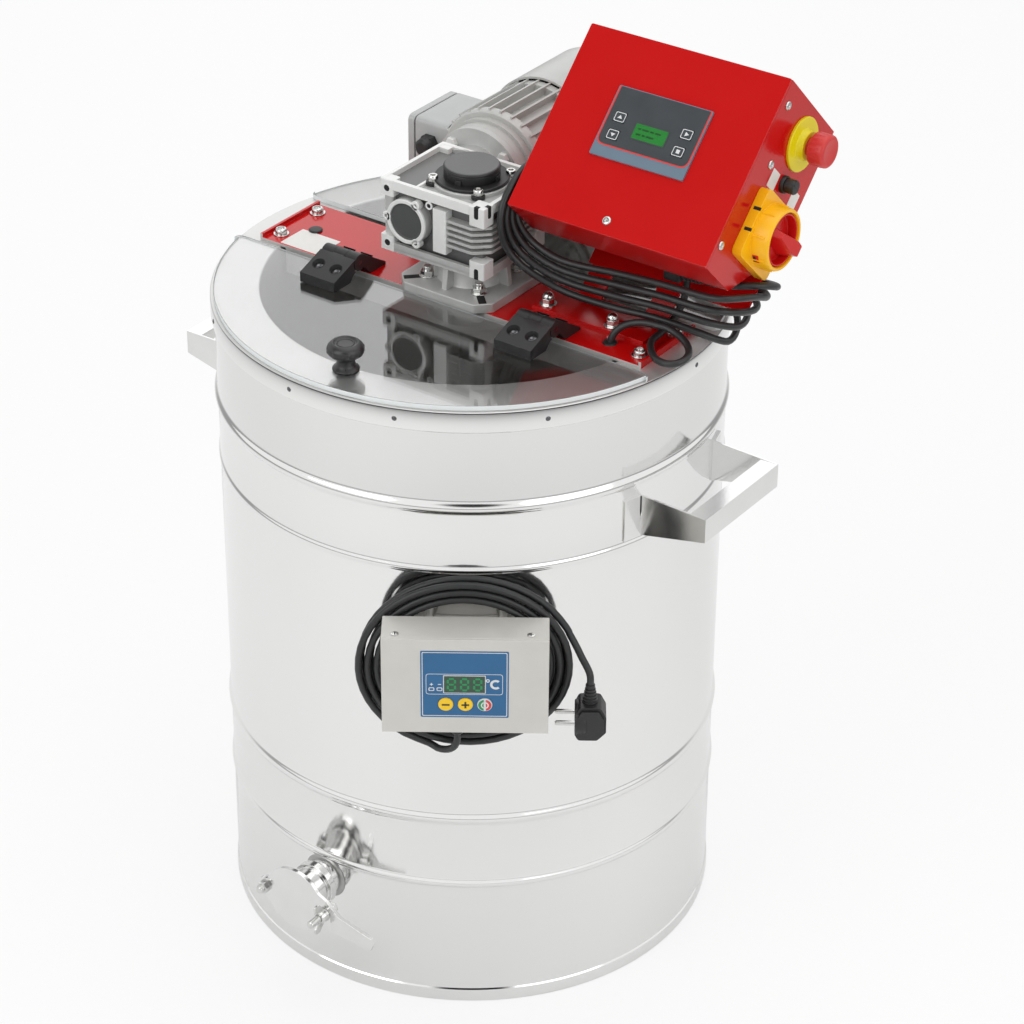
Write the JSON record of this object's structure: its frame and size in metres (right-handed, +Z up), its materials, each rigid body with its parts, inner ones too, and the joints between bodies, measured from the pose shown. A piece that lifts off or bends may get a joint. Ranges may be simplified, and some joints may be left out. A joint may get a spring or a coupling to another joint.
{
  "type": "honey creamer",
  "caption": "Heated double-walled steel drum with a motor-driven stirrer on a crossbar, hinged clear lid, tilted control box, side heating controller and swing outlet gate.",
  "frame": {"origin": "centre of the drum's lower rim, on the floor", "axes": "+Z up along the drum, -Y towards the honey gate and the lid knob, +X along the crossbar towards the control box"},
  "size_m": [0.634, 0.5863, 0.9368],
  "materials": {
    "stainless": "mirror-polished stainless steel",
    "brushed": "brushed stainless steel",
    "insulation": "mineral wool",
    "heating_mat": "silicone heating mat",
    "dark_steel": "turned steel",
    "white_plastic": "white bearing plastic",
    "seal": "black rubber",
    "red_paint": "gloss red powder coat",
    "bolts": "bright zinc-plated steel",
    "acrylic": "clear acrylic",
    "black_plastic": "black moulded plastic",
    "cast_aluminium": "cast aluminium with bright machined edges",
    "grey_plastic": "dark grey plastic",
    "bearing_steel": "bearing steel",
    "bronze": "bronze",
    "motor_paint": "grey enamel",
    "copper": "laminated core with copper winding",
    "keypad": "dark keypad foil with a red outline and green display",
    "key_grey": "grey key",
    "yellow": "yellow plastic",
    "red_plastic": "red plastic",
    "light_plastic": "light grey plastic with a blue foil",
    "yellow_key": "yellow key",
    "green_key": "green key",
    "cord": "black cord sheath"
  },
  "bodies": {
    "tank": {"outer_shell": "stainless", "base_plate": "brushed", "inner_tank": "brushed", "insulation": "insulation", "heating_mat": "heating_mat", "temperature_probe": "dark_steel", "left_handle": "stainless", "right_handle": "stainless", "foot_bush": "white_plastic", "gate_body": "stainless", "gate_seal": "seal", "gate_bolts": "bolts", "crossbar": "red_paint", "crossbar_fasteners": "bolts", "rear_lid": "acrylic", "hinge_bases": "black_plastic", "hinge_pins": "dark_steel", "gearbox_housing": "cast_aluminium", "gearbox_flange": "cast_aluminium", "gearbox_screws": "bolts", "gearbox_caps": "grey_plastic", "bearings": "bearing_steel", "motor_frame": "motor_paint", "stator": "copper", "fan_cowl": "motor_paint", "terminal_box": "motor_paint", "box_housing": "red_paint", "box_cover": "red_paint", "box_bracket": "red_paint", "keypad_panel": "keypad", "estop_base": "yellow", "switch_plate": "yellow", "fuse_holder": "black_plastic", "cable_glands": "black_plastic", "heater_box": "light_plastic", "heater_cover": "light_plastic", "heater_lead": "cord", "heater_plug": "black_plastic", "mains_lead": "cord", "mains_plug": "black_plastic", "link_lead": "cord"},
    "lid": {"front_lid": "acrylic", "lid_knob": "black_plastic", "hinge_leaves": "black_plastic"},
    "agitator": {"agitator": "brushed", "worm_wheel": "bronze"},
    "motor_shaft": {"worm": "dark_steel", "rotor": "dark_steel"},
    "estop_button": {"estop_button": "red_plastic"},
    "switch_knob": {"switch_knob": "red_plastic"},
    "fuse_cap": {"fuse_cap": "black_plastic"},
    "key_1": {"key_1": "key_grey"},
    "key_2": {"key_2": "key_grey"},
    "key_3": {"key_3": "key_grey"},
    "key_4": {"key_4": "key_grey"},
    "heater_key_1": {"heater_key_1": "yellow_key"},
    "heater_key_2": {"heater_key_2": "yellow_key"},
    "heater_key_3": {"heater_key_3": "green_key"},
    "gate_plate": {"gate_plate": "stainless"},
    "wing_nut": {"wing_nut": "bolts"}
  },
  "joints": [
    {"name": "lid_hinge", "type": "hinge", "parent": "tank", "child": "lid", "pos_m": [0, -0.06, 0.706], "axis": [-1, 0, 0], "range_deg": [0, 100]},
    {"name": "agitator_spin", "type": "hinge", "parent": "tank", "child": "agitator", "pos_m": [0, 0, 0.5], "axis": [0, 0, 1], "continuous": true},
    {"name": "motor_spin", "type": "hinge", "parent": "tank", "child": "motor_shaft", "pos_m": [-0.04, 0, 0.761], "axis": [0, 1, 0], "continuous": true},
    {"name": "estop_press", "type": "slide", "parent": "tank", "child": "estop_button", "axis": [-1, 0, 0], "range_m": [0, 0.005], "stiffness_N_per_m": 600},
    {"name": "main_switch_turn", "type": "hinge", "parent": "tank", "child": "switch_knob", "pos_m": [0.303, 0.05951, 0.79959], "axis": [1, 0, 0], "range_deg": [0, 90]},
    {"name": "fuse_cap_turn", "type": "hinge", "parent": "tank", "child": "fuse_cap", "pos_m": [0.291, 0.09911, 0.83353], "axis": [1, 0, 0], "range_deg": [-45, 0]},
    {"name": "key_1_press", "type": "slide", "parent": "tank", "child": "key_1", "axis": [0, 0.7071, -0.7071], "range_m": [0, 0.0005], "stiffness_N_per_m": 300},
    {"name": "key_2_press", "type": "slide", "parent": "tank", "child": "key_2", "axis": [0, 0.7071, -0.7071], "range_m": [0, 0.0005], "stiffness_N_per_m": 300},
    {"name": "key_3_press", "type": "slide", "parent": "tank", "child": "key_3", "axis": [0, 0.7071, -0.7071], "range_m": [0, 0.0005], "stiffness_N_per_m": 300},
    {"name": "key_4_press", "type": "slide", "parent": "tank", "child": "key_4", "axis": [0, 0.7071, -0.7071], "range_m": [0, 0.0005], "stiffness_N_per_m": 300},
    {"name": "heater_key_1_press", "type": "slide", "parent": "tank", "child": "heater_key_1", "axis": [-0.5736, 0.8192, 0], "range_m": [0, 0.0012], "stiffness_N_per_m": 300},
    {"name": "heater_key_2_press", "type": "slide", "parent": "tank", "child": "heater_key_2", "axis": [-0.5736, 0.8192, 0], "range_m": [0, 0.0012], "stiffness_N_per_m": 300},
    {"name": "heater_key_3_press", "type": "slide", "parent": "tank", "child": "heater_key_3", "axis": [-0.5736, 0.8192, 0], "range_m": [0, 0.0012], "stiffness_N_per_m": 300},
    {"name": "gate_swing", "type": "hinge", "parent": "tank", "child": "gate_plate", "pos_m": [-0.038, -0.297, 0.122], "axis": [0, -1, 0], "range_deg": [0, 90]},
    {"name": "wing_nut_turn", "type": "hinge", "parent": "tank", "child": "wing_nut", "pos_m": [0.038, -0.305, 0.122], "axis": [0, 1, 0], "continuous": true}
  ],
  "couplings": [
    {"joint": "motor_spin", "follows": "agitator_spin", "ratio": 30}
  ]
}
